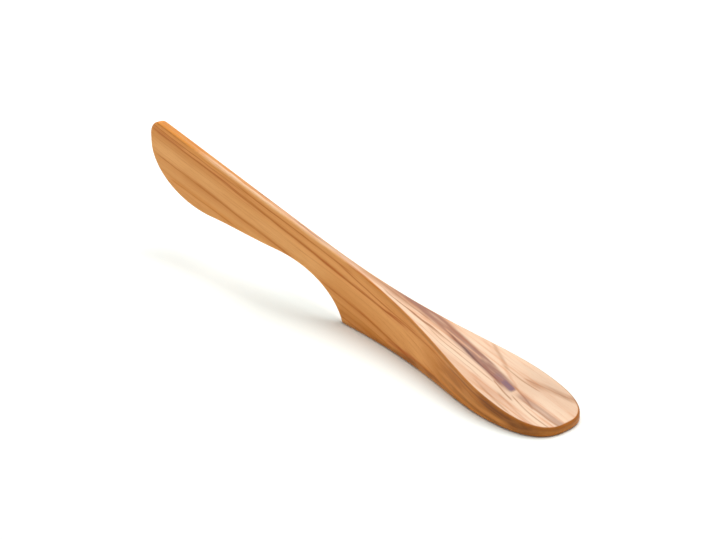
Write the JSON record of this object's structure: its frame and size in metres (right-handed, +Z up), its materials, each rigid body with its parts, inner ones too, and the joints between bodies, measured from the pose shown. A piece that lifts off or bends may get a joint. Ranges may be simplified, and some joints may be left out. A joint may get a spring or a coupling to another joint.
{
  "type": "wooden butter knife",
  "caption": "Solid olive-wood butter knife: flat round handle that lies on the table, top face rising evenly to an upright blade that stands clear of it",
  "frame": {"origin": "centre of the bounding box in plan, at the height of the table that the foot rests on", "axes": "+X runs along the knife towards the rounded handle end, so the blade tip is at -X; +Y is across the knife; +Z is up from the table"},
  "size_m": [0.1862, 0.0236, 0.0407],
  "materials": {
    "olive_wood": "oiled, satin, long brown growth lines with a purple-brown heartwood streak on the handle"
  },
  "bodies": {
    "root": {"knife": "olive_wood"}
  },
  "joints": []
}
